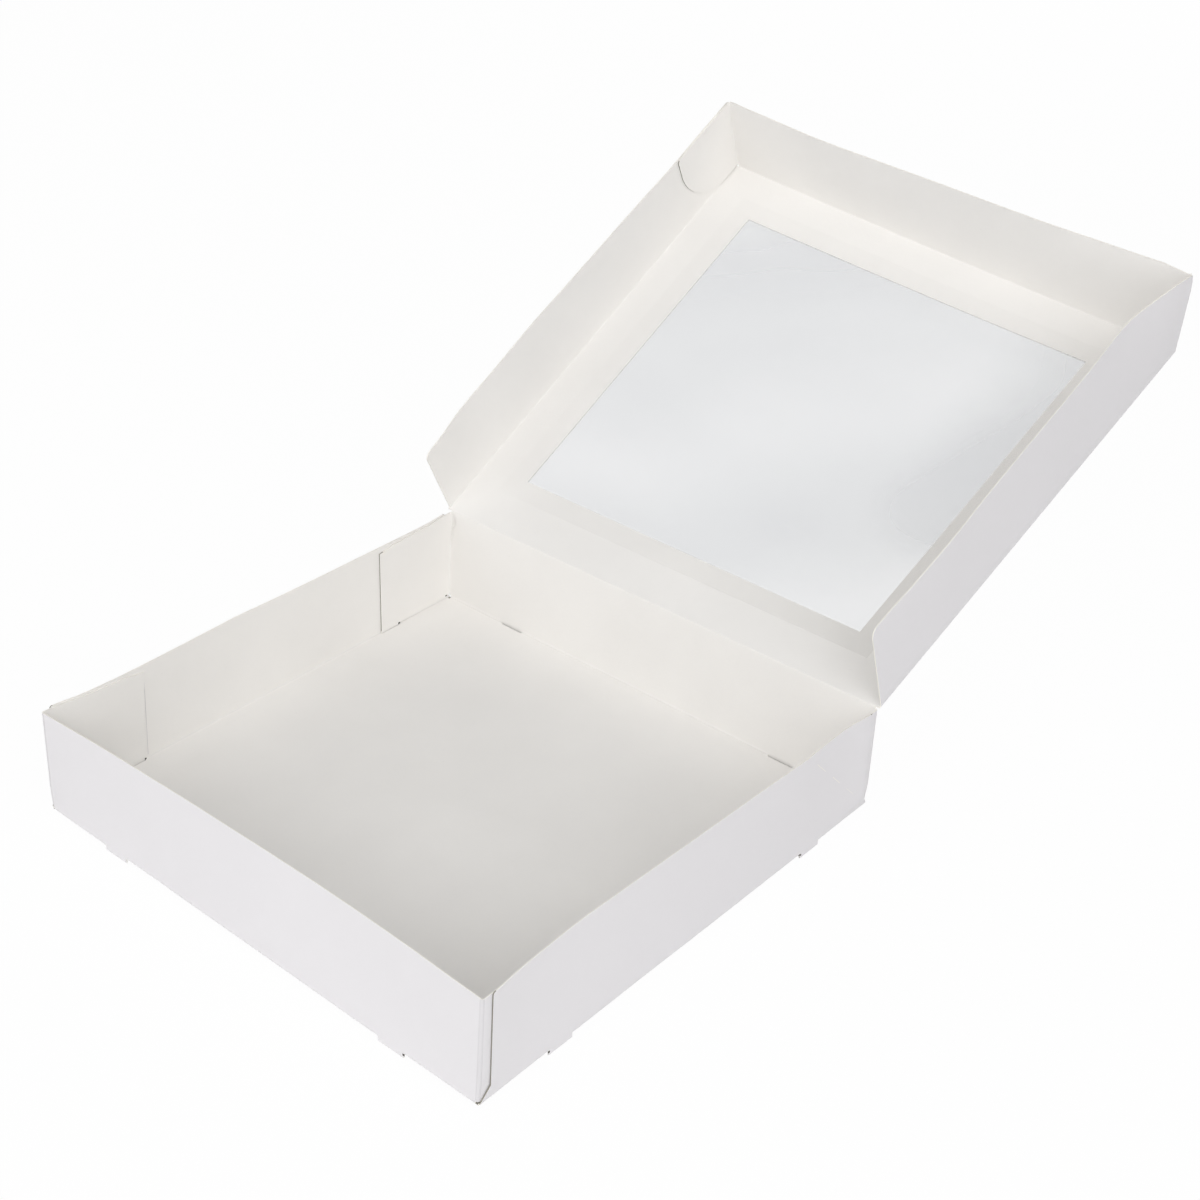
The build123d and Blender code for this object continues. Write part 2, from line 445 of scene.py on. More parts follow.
INSIDE = board_finish("board_inside", (241, 239, 236), 0.8, 0.30, cloud=0.03, specks=0.04, specular=0.35)
OUTSIDE = board_finish("board_outside", (225, 223, 225), 0.52, 0.12, cloud=0.015, specks=0.0, specular=0.4)
# Painted shade: the crease's inside is darker than plain board, to hold back the light that its bend catches
CREASE_SHADE = board_finish("board_crease_painted_shade", (237, 235, 232), 0.8, 0.30, cloud=0.03, specks=0.0, specular=0.3)
# Painted shade: the upright folds' outside is darker, to hold back their highlight; it also paints a shadow strip
FOLD_SHADE = board_finish("board_fold_painted_shade", (214, 212, 214), 0.6, 0.2, cloud=0.03, specks=0.0, specular=0.25)
# Painted shade: cut edges that lie in gaps, and the plates under the open corners
SHADED_EDGE = board_finish("board_shaded_edge", (150, 147, 136), 0.9, 0.6, cloud=0.08, specks=0.0, specular=0.2)
# Painted shade: the dark strips that stand for the shade in small gaps
GAP_SHADE = board_finish("shaded_gap", (78, 74, 66), 0.95, 0.4, cloud=0.08, specks=0.0, specular=0.1)
CUT_EDGE = board_finish("board_cut_edge", (247, 244, 237), 0.9, 0.6, cloud=0.05, specks=0.0, specular=0.3)

# The inside, outside and cut edge of plain board, of board whose cut edge lies in a gap and is painted in shade, of a
# soft upright fold, painted in shade outside, and of the crease round the base, painted in shade inside
FINISHES = (
    INSIDE, OUTSIDE, CUT_EDGE,
    INSIDE, OUTSIDE, SHADED_EDGE,
    INSIDE, FOLD_SHADE, CUT_EDGE,
    CREASE_SHADE, OUTSIDE, CUT_EDGE,
)
IN_GAP, AT_FOLD, AT_CREASE = 3, 6, 9

# Across the film from the near right to the far left: the line that its soft bands of painted reflection are counted
# along, its ends in metres, and how much cover the bands give at shares of its length
BAND_LINE = (-0.605, 0.879, 0.0)
BAND_START, BAND_END = 0.091, 0.351
BANDS = ((0.0, 0.05), (0.22, 0.8), (0.45, 0.2), (0.68, 0.55), (0.88, 1.0), (1.0, 0.6))


def film_group():
    """Clear film, drawn tight from corner to corner, with fine streaks: its cover changes in broad soft bands of
    painted reflection, and painted shade gives its right corners more cover.
    """
    group, given, made = new_group(
        "drawn_film",
        [
            ("Low", "NodeSocketFloat", 0.15),
            ("High", "NodeSocketFloat", 0.33),
            ("Bands", "NodeSocketFloat", 1.0),
            ("Right Corner", "NodeSocketFloat", 0.0),
        ],
        [
            ("Streaks", "NodeSocketFloat"),
            ("Amount", "NodeSocketFloat"),
            ("Roughness", "NodeSocketFloat"),
            ("Normal", "NodeSocketVector"),
        ],
    )
    place = node(group, "ShaderNodeTexCoord").outputs["Object"]
    parts = node(group, "ShaderNodeSeparateXYZ", Vector=place).outputs

    # Fine streaks
    drawn = node(
        group, "ShaderNodeMapping", Vector=place,
        Location=(0.3, 0.1, 0.0), Rotation=(0.0, 0.0, math.radians(-36)), Scale=(4.0, 16.0, 4.0),
    )
    haze = noise(group, drawn.outputs["Vector"], Scale=1.0, Detail=1.5, Roughness=0.35, Distortion=0.3)
    streak = spread(group, haze, 0.32, 0.68)
    give(group, made["Streaks"], streak)

    # Broad bands of painted reflection, which sway a little
    sway = spread(group, noise(group, place, Scale=9.0, Detail=1.0, Roughness=0.4), 0.3, 0.7, -0.012, 0.012)
    over = node(group, "ShaderNodeVectorMath", operation="DOT_PRODUCT", Vector=place)
    over.inputs[1].default_value = BAND_LINE
    swayed = maths(group, "ADD", over.outputs["Value"], sway)
    bands = node(group, "ShaderNodeValToRGB", Fac=spread(group, swayed, BAND_START, BAND_END))
    ramp = bands.color_ramp
    ramp.interpolation = "EASE"
    for at, cover in BANDS[2:]:
        ramp.elements.new(at)
    for element, (at, cover) in zip(ramp.elements, BANDS):
        element.position = at
        element.color = (cover, cover, cover, 1)

    # Painted shade: the far right corner gets more cover
    right = spread(group, parts["X"], 0.045, 0.1, high=0.8, kind="SMOOTHSTEP")
    away = spread(group, parts["Y"], 0.19, 0.23, kind="SMOOTHSTEP")
    wide = maths(group, "ADD", bands.outputs["Color"], maths(group, "MULTIPLY", right, away))
    fine = spread(group, streak, low=-0.12, high=0.12)
    share = maths(group, "MULTIPLY", maths(group, "ADD", wide, fine), given["Bands"])

    # Painted shade: the glued margin gets most cover by the near right corner
    across = spread(group, parts["X"], -0.1, 0.09)
    close = spread(group, parts["Y"], 0.15, 0.3, 1.0, 0.0)
    corner = maths(group, "MULTIPLY", maths(group, "MULTIPLY", across, close), given["Right Corner"])
    total = maths(group, "ADD", share, corner)
    give(group, made["Amount"], spread(group, total, low=given["Low"], high=given["High"]))

    give(group, made["Roughness"], spread(group, haze, 0.3, 0.7, 0.08, 0.14))
    dust = noise(group, place, Scale=60.0, Detail=2.0)
    bump = node(group, "ShaderNodeBump", Height=dust, Strength=0.05, Distance=0.001)
    give(group, made["Normal"], bump.outputs["Normal"])
    return group


DRAWN_FILM = film_group()


def film_finish(name, low, high, bands, right_corner, dark, light, specular):
    """A thin gloss sheet with a slight grey of its own, between these amounts of cover."""
    material, tree, shader = nodes_of(name)
    film = tree.nodes.new("ShaderNodeGroup")
    film.node_tree = DRAWN_FILM
    film.inputs["Low"].default_value = low
    film.inputs["High"].default_value = high
    film.inputs["Bands"].default_value = bands
    film.inputs["Right Corner"].default_value = right_corner
    tree.links.new(film.outputs["Amount"], shader.inputs["Alpha"])
    tree.links.new(film.outputs["Roughness"], shader.inputs["Roughness"])
    tree.links.new(film.outputs["Normal"], shader.inputs["Normal"])
    tone = node(
        tree, "ShaderNodeMix", data_type="RGBA",
        Factor=film.outputs["Streaks"], A=linear(dark), B=linear(light),
    )
    tree.links.new(tone.outputs["Result"], shader.inputs["Base Color"])
    shader.inputs["Specular IOR Level"].default_value = specular
    return material


# The film's cover carries painted reflection in bands, and painted shade at its right corners
FREE_FILM = film_finish(
    "window_film_free", low=0.172, high=0.37, bands=1.0, right_corner=0.0,
    dark=(212, 214, 217), light=(206, 208, 212), specular=0.6,
)
GLUED_FILM = film_finish(
    "window_film_glued", low=0.003, high=0.05, bands=0.1, right_corner=1.0,
    dark=(214, 213, 208), light=(208, 207, 202), specular=0.2,
)


def mark(piece, finish, test):
    """Gives the faces whose middle passes the test a finish of their own, by its number in FINISHES."""
    choose(piece, "FACE", test)
    mesh = bmesh.from_edit_mesh(piece.data)
    for face in mesh.faces:
        if face.select:
            face.material_index = finish
    bmesh.update_edit_mesh(piece.data)


def shade(piece, test):
    """Marks the faces of a sheet along the border edges that pass the test: their cut edge lies in a narrow gap, and is
    painted in shade.
    """
    choose_border(piece, test)
    mesh = bmesh.from_edit_mesh(piece.data)
    for edge in mesh.edges:
        if edge.select:
            edge.link_faces[0].material_index = IN_GAP
    bmesh.update_edit_mesh(piece.data)


def thicken(piece):
    """Gives a sheet the board's thickness, with its inside, outside and cut-edge finishes."""
    marks = [face.material_index for face in piece.data.polygons]
    piece.data.materials.clear()
    for finish in FINISHES:
        piece.data.materials.append(finish)
    for face, number in zip(piece.data.polygons, marks):
        face.material_index = number
    apply_modifier(
        piece, "SOLIDIFY", thickness=BOARD, offset=0.0, use_even_offset=True, material_offset=1, material_offset_rim=2
    )


def finished(piece):
    """Smooths a piece, and takes it from millimetres to its real size."""
    take(piece)
    bpy.ops.object.shade_smooth_by_angle(angle=math.radians(SMOOTH_UNDER))
    piece.scale = (1 / MILLIMETRES,) * 3
    bpy.ops.object.transform_apply(location=True, rotation=True, scale=True)
    return piece


# ---------------------------------------------------------------- the tray

def in_slot(along):
    """Whether a place along a wall, from its middle, lies in a slot."""
    return SLOT_FAR < along < SLOT_NEAR


def at_slot_end(along):
    """Whether it lies at the end of one."""
    return near(along, SLOT_FAR) or near(along, SLOT_NEAR)


def tray_sheet():
    """The tray's board, made as its front right quarter and mirrored."""
    corner = SIDE - CREASE_BEND
    reach = SIDE - SIDE_TOE
    tray = flat_sheet("tray_board", (0, corner), (-reach, 0), BASE)
    work_on(tray)
    cut("x", SLOT_FAR, SLOT_NEAR, CORNER_HOLE, SLOT_DEPTH, WALL_END)
    cut("y", -SLOT_FAR, -SLOT_NEAR, -CORNER_HOLE, -SLOT_DEPTH, -corner)
    remove(tray, lambda m: m.y < -SLOT_DEPTH and in_slot(m.x))
    remove(tray, lambda m: m.x > SLOT_DEPTH and in_slot(-m.y))
    remove(tray, lambda m: m.y < -corner and m.x < WALL_END)

    # Front wall: its crease, the wall and the feet below the slots
    low = (WALL_START + FLAP_LOW) / 2
    choose_border(tray, lambda m: near(m.y, -corner) and m.x < WALL_END and not in_slot(m.x))
    fold((0, -corner, WALL_START), (1, 0, 0), -90)
    grow(0, 0, FLAP_LOW - WALL_START)
    choose_border(tray, lambda m: near(m.y, -SIDE) and near(m.z, low) and at_slot_end(m.x))
    bpy.ops.mesh.bridge_edge_loops()
    choose_border(tray, lambda m: near(m.y, -SIDE) and near(m.z, WALL_START) and in_slot(m.x))
    grow(0, 0, FOOT_TIP - WALL_START)
    choose_border(tray, lambda m: near(m.y, -SIDE) and near(m.z, FLAP_LOW))
    grow(0, 0, FLAP_HIGH - FLAP_LOW)
    grow(0, 0, RIM - FLAP_HIGH)

    # Corner flap: the soft upright fold, the flap with its slanted top, and the tongue
    turn_y = -SIDE + CORNER_BEND
    choose_border(tray, lambda m: near(m.x, WALL_END) and near(m.y, -SIDE) and FLAP_LOW < m.z < FLAP_HIGH)
    fold((WALL_END, turn_y, 0), (0, 0, 1), 90, CORNER_PARTS)
    place = turn_y
    for stop in (-TONGUE_START, -FLAP_SLANT, -TONGUE_END, -FLAP_END):
        grow(0, stop - place, 0)
        place = stop
    choose_border(tray, lambda m: near(m.x, FLAP_FACE) and near(m.z, FLAP_LOW) and TONGUE_END < -m.y < TONGUE_START)
    grow(0, 0, TONGUE_TIP - FLAP_LOW)

    # Side wall: its crease, the slanted foot, the wall and its feet
    choose_border(tray, lambda m: near(m.x, corner) and near(m.z, BASE) and not in_slot(-m.y))
    fold((corner, 0, WALL_START), (0, 1, 0), -90)
    grow(0, 0, FLAP_LOW - WALL_START)
    choose_border(tray, lambda m: near(m.x, SIDE) and near(m.z, low) and at_slot_end(-m.y))
    bpy.ops.mesh.bridge_edge_loops()
    choose_border(tray, lambda m: near(m.x, SIDE) and near(m.z, WALL_START) and in_slot(-m.y))
    grow(0, 0, FOOT_TIP - WALL_START)
    choose_border(tray, lambda m: near(m.x, SIDE) and near(m.z, FLAP_LOW))
    grow(0, 0, RAMP_TOP - FLAP_LOW)
    grow(0, 0, RIM - RAMP_TOP)

    def trimmed(p):
        if near(p.x, SIDE) and p.z > WALL_START + HAIR:
            p.y = max(p.y, -reach + min(1.0, (p.z - WALL_START) / SIDE_RAMP) * SIDE_SETBACK)
        if near(p.x, FLAP_FACE) and p.z > FLAP_LOW + HAIR:
            p.z -= FLAP_FALL * min(1.0, (p.y - turn_y) / (-TONGUE_START - turn_y))
            p.z -= SLANT_FALL * max(0.0, (p.y + FLAP_SLANT) / (FLAP_SLANT - FLAP_END))
        if near(p.x, FLAP_FACE) and near(p.y, -FLAP_END) and p.z < FLAP_LOW + HAIR:
            p.y = -TONGUE_END + TOUCH
        return p

    shift(tray, trimmed)
    work_on(tray)
    merge_points()
    end = -reach + SIDE_SETBACK
    round_corner(tray, RIM_ROUNDING, 4, lambda m: near(m.x, SIDE) and near(m.z, RIM) and near(m.y, end, HAIR))
    put_down()
    mirrored(tray, x=True, y=True)

    # The corners of the base are open: every crease ends a little before its neighbour
    work_on(tray)
    remove(tray, lambda m: near(m.z, BASE) and abs(m.x) > CORNER_HOLE and abs(m.y) > CORNER_HOLE)
    put_down()
    return tray


# How far each wall leans in at its rim, and how far its foot stands out, along the wall
FRONT_LEAN = [
    (-124, 0.0), (-118, 0.2), (-88, 1.5), (-59, 2.2), (-29, 2.75),
    (29, 2.95), (59, 2.5), (88, 1.4), (118, -0.3), (124, -0.4),
]
FRONT_FOOT = [
    (-125, 0.0), (-100, 0.2), (-60, 0.25), (-30, 0.55), (0, 0.75), (30, 1.0), (60, 1.25), (100, 1.4), (125, 1.45),
]
RIGHT_LEAN = [
    (-124.5, 0.1), (-118, 0.3), (-94, 1.7), (-71, 2.6), (-47, 2.35), (-10, 1.7),
    (24, 1.15), (60, 0.4), (94, -0.9), (118, -0.6), (124.5, -0.5),
]
RIGHT_FOOT = [(-125, 0.6), (-95, 0.6), (-60, 0.8), (-30, 0.8), (0, 1.0), (60, 1.15), (95, 1.15), (125, 0.9)]
LEFT_LEAN = [
    (-124.5, 0.0), (-116, 0.2), (-87, 1.4), (-58, 1.15), (-29, 0.4),
    (0, -0.6), (29, -1.1), (60, -1.2), (108, -1.2), (124.5, -0.5),
]
LEFT_RISE = 0.25
BACK_BOW, BACK_BOW_LENGTH = 0.25, 250  # how far the middle of the back wall bows out, and over what length
BASE_SWELL = 0.35  # how far the middle of the base stands up
BASE_WAVES = ((0.12, 170, 20, 0.4), (0.08, 110, 100, 1.9))
BASE_REACH = 122  # the base is uneven as far as this
OUTER_BAND = 118  # the base follows the feet from here outward
FOLD_REACH = 0.9  # an upright fold starts this far inside its flap
CORNER_SPREAD = 0.6, 1.45  # the stiff folds push the ends of the side walls out, most at two opposite corners
SPREAD_ALONG = 104, 120  # the spread grows along a wall between these places,
SPREAD_FROM, SPREAD_WIDTH, SPREAD_HEIGHT = 122.5, 1.2, 3  # from here outward, and upward from the base
FLAP_PRESS = 0.08  # the free ends of the corner flaps lie against the side walls
PRESS_ALONG = 104, 123  # the press fades out between these places
BACK_FLAP_RISE = 1.0  # the lower edge of the back flaps climbs toward the corner
RISE_ALONG = 86, 124


def tray_settled(p):
    """Where a point of the tray comes to rest: the walls lean in, the back wall is held by the lid."""
    height = max(0.0, (p.z - WALL_START) / (RIM - WALL_START))
    foot = 1 - min(1.0, height)
    x, y, z = p
    above = z > BASE + HAIR
    if abs(x) > FLAP_FACE - FOLD_REACH and (above or z < BASE - HAIR):
        p.x -= math.copysign(between(RIGHT_LEAN if x > 0 else LEFT_LEAN, y) * height, x)
        if near(abs(x), FLAP_FACE, BESIDE):
            p.x += math.copysign(FLAP_PRESS * (1 - ease(*PRESS_ALONG, abs(y))), x)
            if y > RISE_ALONG[0] and near(z, FLAP_LOW, CLOSE):
                p.z += BACK_FLAP_RISE * ease(*RISE_ALONG, y)
        if x < 0:
            p.z += LEFT_RISE * height
    if abs(x) > SPREAD_FROM and above:
        push = CORNER_SPREAD[x * y > 0] * ease(*SPREAD_ALONG, abs(y))
        push *= min(1.0, (z - BASE) / SPREAD_HEIGHT) * min(1.0, (abs(x) - SPREAD_FROM) / SPREAD_WIDTH)
        p.x += math.copysign(push, x)
    if x > OUTER_BAND:
        p.x += between(RIGHT_FOOT, y) * foot * (x - OUTER_BAND) / (SIDE - OUTER_BAND)
    if y < -OUTER_BAND:
        p.y -= between(FRONT_FOOT, x) * foot * (-OUTER_BAND - y) / (SIDE - OUTER_BAND)
    if y < -SIDE + 1.0 and above:
        p.y += between(FRONT_LEAN, x) * height
    if y > SIDE - HAIR:
        if z > RIM - HAIR:
            p.z = HINGE_Z
        p.y += BACK_BOW * math.sin(math.pi * height) * math.cos(math.pi * x / BACK_BOW_LENGTH) ** 2
    if near(z, BASE, CLOSE):
        inner = max(0.0, 1 - (x / BASE_REACH) ** 2) * max(0.0, 1 - (y / BASE_REACH) ** 2)
        p.z += inner * (BASE_SWELL + ripple(x, y, BASE_WAVES))
    return p


# The dashes of the scored slanting line outside the right wall, near the back: the place of each one's upper end,
# its length and its width
SCORE_DASHES = ((81.2, 44.8, 10.5, 0.24), (95.0, 31.2, 8.8, 0.24), (107.0, 19.2, 7.0, 0.12))
SCORE_HEIGHT = 0.07
SCORE_SLANT = math.radians(-45)

# Small gaps, drawn as strips painted in shade: the places of three feet's notches and how high they reach, the limits
# of the holes and the painted shadow at a corner flap along the wall and upward, and how deep the painted shade of an
# open corner lies
FOOT_NOTCHES = ((SLOT_NEAR - 0.1, -OUTER_FACE), (OUTER_FACE, -SLOT_NEAR + 0.1), (OUTER_FACE, SLOT_FAR + 0.3))
FOOT_NOTCH_HEIGHT = (1.25, 2.1)
FLAP_HOLES = (((87.0, 88.1), (2.3, 3.15)), ((121.6, 122.7), (3.5, 4.25)), ((-74.6, -73.9), (1.8, 2.8)))
FLAP_HOLE_WIDTH = (FLAP_FACE - 0.15, FLAP_FACE + 0.15)
FLAP_END_SHADOW = ((-72.65, -72.45), (4.0, 43.0))
FLAP_END_SHADOW_WIDTH = (SIDE - 0.35, SIDE - 0.2)
CORNER_DEPTH = (BASE - 0.12, BASE - 0.02)


def score(y, z, length, width):
    """One dash of the scored line, from its upper end."""
    put_down()
    half = length / 2 * math.cos(SCORE_SLANT)
    bpy.ops.mesh.primitive_cube_add(size=1, location=(OUTER_FACE, y + half, z - half))
    dash = bpy.context.object
    dash.scale = (SCORE_HEIGHT, length, width)
    dash.rotation_euler = (SCORE_SLANT, 0, 0)
    bpy.ops.object.transform_apply(location=True, rotation=True, scale=True)
    dash.data.materials.append(CUT_EDGE)
    shift(dash, tray_settled)
    return dash


def gap_strip(x, y, z, finish=GAP_SHADE):
    """A small gap between two parts of the board, as a thin strip painted in shade that fills it between these limits.
    """
    put_down()
    low, high = (Vector(side) for side in zip(x, y, z))
    bpy.ops.mesh.primitive_cube_add(size=1, location=(low + high) / 2)
    gap = bpy.context.object
    gap.scale = high - low
    bpy.ops.object.transform_apply(location=True, rotation=True, scale=True)
    gap.data.materials.append(finish)
    return gap


def foot_notch(x, y):
    """The small gap where a foot's cut ends, as a strip painted in shade, at a place along the outside of the front or
    the right wall.
    """
    along, through = 0.5, 0.06
    reach = (along, through) if abs(y) > abs(x) else (through, along)
    gap = gap_strip((x - reach[0], x + reach[0]), (y - reach[1], y + reach[1]), FOOT_NOTCH_HEIGHT)

    def at_foot(p):
        out_x = between(RIGHT_FOOT, p.y) if p.x > OUTER_BAND else 0
        out_y = between(FRONT_FOOT, p.x) if p.y < -OUTER_BAND else 0
        return Vector((p.x + out_x, p.y - out_y, p.z))

    shift(gap, at_foot)
    return gap


def flap_gaps(side):
    """Strips painted in shade: the small holes along the lower edges of the corner flaps, and a painted soft shadow
    beside a front flap's end.
    """
    by_flap = sorted(side * x for x in FLAP_HOLE_WIDTH)
    by_wall = sorted(side * x for x in FLAP_END_SHADOW_WIDTH)
    gaps = [gap_strip(by_flap, y, z) for y, z in FLAP_HOLES]
    # A painted shadow beside the front flap's end, in the folds' painted shade
    gaps.append(gap_strip(by_wall, *FLAP_END_SHADOW, FOLD_SHADE))
    for gap in gaps:
        shift(gap, tray_settled)
    return gaps


def corner_gap(side, end):
    """The opening where the base stops short of a corner, as a plate painted in shade."""
    limits = [tuple(sorted((s * CORNER_HOLE, s * (SIDE - HAIR)))) for s in (side, end)]
    gap = gap_strip(*limits, CORNER_DEPTH, SHADED_EDGE)
    shift(gap, tray_settled)
    return gap


# The edges that lie in a gap, whose cut edges are painted in shade, and get a narrow row of faces: the ends of the side
# walls, and the free ends of the corner flaps, the front ones no higher than this
GAP_ROWS = (-118.8, -73.8, 73.8, 118.8)
WALL_EDGE_FROM, WALL_EDGE_TOP = 119, RIM - 0.3
FLAP_EDGE_FROM, FRONT_FLAP_EDGE_TOP = 75.2, 46


def at_upright_fold(m):
    """Whether a place is on one of the tray's soft upright folds."""
    bend_x, bend_y = FLAP_FACE + MERGE, SIDE - CORNER_BEND - MERGE
    return WALL_END < abs(m.x) < bend_x and abs(m.y) > bend_y and m.z > BASE + HAIR


def at_wall_end(m):
    """Whether it is on the end of a side wall."""
    return near(abs(m.x), SIDE, CLOSE) and abs(m.y) > WALL_EDGE_FROM and WALL_START < m.z < WALL_EDGE_TOP


def at_flap_end(m):
    """Whether it is on the free end of a corner flap."""
    free = near(abs(m.x), FLAP_FACE, CLOSE) and abs(m.y) < FLAP_EDGE_FROM and m.z > FLAP_LOW + CLOSE
    return free and (m.y > 0 or m.z < FRONT_FLAP_EDGE_TOP)


def make_tray():
    """The tray: its settled board, the bead of its hinge edge, the scored line and the small gaps painted in shade."""
    tray = tray_sheet()
    work_on(tray)
    cut("x", *steps(*TRAY_CUTS_X, *both_ways(SLOT_FAR, SLOT_NEAR, CORNER_HOLE)))
    cut("y", *steps(*TRAY_CUTS_Y, *both_ways(SLOT_FAR, SLOT_NEAR, CORNER_HOLE, FLAP_SLANT)))
    cut("y", *GAP_ROWS)
    cut("z", *steps(*TRAY_CUTS_Z))
    # Painted shade: the outside of the soft upright folds is darker
    mark(tray, AT_FOLD, at_upright_fold)
    # Painted shade: the inside of the crease round the base is darker
    mark(tray, AT_CREASE, lambda m: BASE + MERGE < m.z < WALL_START)
    # Painted shade on the cut edges that lie in gaps
    shade(tray, at_wall_end)
    shade(tray, at_flap_end)
    shift(tray, tray_settled)
    thicken(tray)

    # The rounded edge that the lid is hinged on
    take(tray)
    bpy.ops.mesh.primitive_cylinder_add(
        vertices=16, radius=BOARD / 2, depth=2 * WALL_END, end_fill_type="NGON",
        location=(0, HINGE_Y, HINGE_Z), rotation=(0, math.radians(90), 0),
    )
    bead = bpy.context.object
    bead.data.materials.append(INSIDE)
    bpy.ops.object.transform_apply(location=True, rotation=True, scale=True)

    dashes = [score(*dash) for dash in SCORE_DASHES]
    gaps = [foot_notch(*place) for place in FOOT_NOTCHES]
    gaps += flap_gaps(-1) + flap_gaps(1) + [corner_gap(x, y) for x in (-1, 1) for y in (-1, 1)]
    take(tray)
    for part in [bead] + dashes + gaps:
        part.select_set(True)
    bpy.ops.object.join()
    return finished(tray)


# ---------------------------------------------------------------- the lid, made level and then opened

def in_window(place):
    """Whether a place on the level lid lies in its window."""
    return WINDOW_LEFT < place.x < WINDOW_RIGHT and WINDOW_REAR < place.y < WINDOW_FAR


def lid_sheet():
    """The lid's board, made as its right half with the hinge line on Y=0, and mirrored."""
    corner = LID_SIDE - CREASE_BEND
    far = LID_DEPTH - CREASE_BEND
    lid = flat_sheet("lid_board", (0, corner), (0, far), 0)
    work_on(lid)
    cut("x", LID_WALL_END)

    # Far wall
    choose_border(lid, lambda m: near(m.y, far) and m.x < LID_WALL_END)
    fold((0, far, CREASE_BEND), (1, 0, 0), 90)
    grow(0, 0, LID_FLAP_LOW - CREASE_BEND)
    grow(0, 0, LID_FLAP_HIGH - LID_FLAP_LOW)
    grow(0, 0, LID_FLAP_STEP)

    # Its flap, glued inside the side wall, with a rounded free corner
    turn_y = LID_DEPTH - CORNER_BEND
    choose_border(lid, lambda m: near(m.x, LID_WALL_END) and m.y > far and LID_FLAP_LOW < m.z < LID_FLAP_HIGH)
    fold((LID_WALL_END, turn_y, 0), (0, 0, 1), -90, CORNER_PARTS)
    grow(0, LID_FLAP_END - turn_y, 0)

    def at_tip(m, height):
        return near(m.x, LID_FLAP_FACE) and near(m.y, LID_FLAP_END) and near(m.z, height)

    round_corner(lid, LID_FLAP_ROUNDING, 16, lambda m: at_tip(m, LID_FLAP_LOW))
    round_corner(lid, LID_FLAP_TIP_ROUNDING, 4, lambda m: at_tip(m, LID_FLAP_HIGH))

    # Side wall
    choose_border(lid, lambda m: near(m.x, corner) and near(m.z, 0))
    fold((corner, 0, CREASE_BEND), (0, 1, 0), -90)
    grow(0, 0, LID_WALL - CREASE_BEND)

    def trimmed(p):
        if near(p.x, LID_SIDE):
            p.y = min(max(p.y, LID_REAR_SETBACK), LID_DEPTH - LID_FAR_SETBACK)
        return p

    def at_rim(m):
        return near(m.x, LID_SIDE) and near(m.z, LID_WALL)

    shift(lid, trimmed)
    work_on(lid)
    merge_points()
    round_corner(lid, LID_REAR_ROUNDING, 8, lambda m: at_rim(m) and near(m.y, LID_REAR_SETBACK))
    round_corner(lid, LID_FAR_ROUNDING, 5, lambda m: at_rim(m) and m.y > LID_DEPTH - 5)
    put_down()
    mirrored(lid, x=True)

    # Window
    work_on(lid)
    cut("x", WINDOW_LEFT, WINDOW_RIGHT)
    cut("y", WINDOW_REAR, WINDOW_FAR)
    remove(lid, lambda m: near(m.z, 0) and in_window(m))
    put_down()
    return lid


# How high the lid's walls stand, and how far they lean: the right one out, the left one and the far one in
RIGHT_HEIGHT = [(0, 48.2), (30, 48.8), (225, 49.0), (254, 50.6)]
RIGHT_OUT = [
    (0, -0.4), (12, -0.4), (30, 0.35), (60, 0.45), (90, -0.5), (120, -1.05), (150, -1.4), (180, -1.9),
    (200, -2.7), (212, -2.7), (225, -0.7), (240, 3.2), (254, 6.7),
]
LEFT_HEIGHT = [(0, 42.2), (205, 42.2), (225, 42.2), (239.5, 43.2), (247, 43.9), (255, 45.4)]
LEFT_IN = [
    (0, 2.0), (12, 1.8), (30, -0.3), (60, -0.6), (90, -1.0), (120, -0.3), (150, 0.3), (180, 0.9),
    (205, 1.7), (225, 1.6), (240, 2.4), (248, 3.1), (255, 4.2),
]
FAR_HEIGHT = [(-126, 45.5), (-118, 46.2), (-105, 48.5), (-90, 49.2), (126, 49.2)]
FAR_IN = [
    (-126, -1.9), (-118, -1.5), (-105, 0.9), (-80, 2.4), (-60, 3.0), (-30, 2.5), (0, 2.0), (30, 1.8), (60, 1.6),
    (88, 0.5), (100, 0.2), (118, -0.6), (126, -1.2),
]
LID_FLAP_LIFT, LIFT_LENGTH = 0.12, 16  # the free ends of the lid's flaps stand off its side walls
TIP_DROP, TIP_IN = 2.1, 1.0  # the lid's far right corner is rounded off: how far it comes down, and in,
TIP_REACH, TIP_HEIGHT = (0.5, 5.5), (0.8, 1.0)  # how far from the corner, and in which share of the walls' height
SIDE_FOLLOW = 226, 253  # between these places the side walls begin to follow the far wall
FAR_ZONE = LID_DEPTH - 1.2  # the far wall and its folds lie past this
FAR_ENDS, FAR_END_WIDTH = 118, 6.5  # the ends of the far wall follow the side walls from here, over this width
LID_FLARE, LID_HALF = 1.8, 126  # how far the lid's far corners reach out beyond the middle, and where they are
LID_REACH = 124  # the lid's top is uneven as far as this
LID_WAVES = ((0.25, 210, 30, 0.3), (0.12, 120, 110, 1.2))
FILM_WAVES = ((0.16, 78, 52, 0.0), (0.10, 47, 38, 1.1), (0.05, 29, 61, 2.2))
FILM_HELD = 20  # the film's own waves grow over this distance from the edges of the window
LID_FLAP_EDGE_END, LID_FLAP_EDGE_TOP = LID_DEPTH - 8, 47  # the edges of the lid's flaps lie in a gap, painted in shade, up to here


def tilt_at(x):
    """How far the open lid is tilted at a place along the hinge."""
    share = (x - lid_low.x) / (lid_high.x - lid_low.x)
    return math.radians(LEFT_TILT + (RIGHT_TILT - LEFT_TILT) * share)


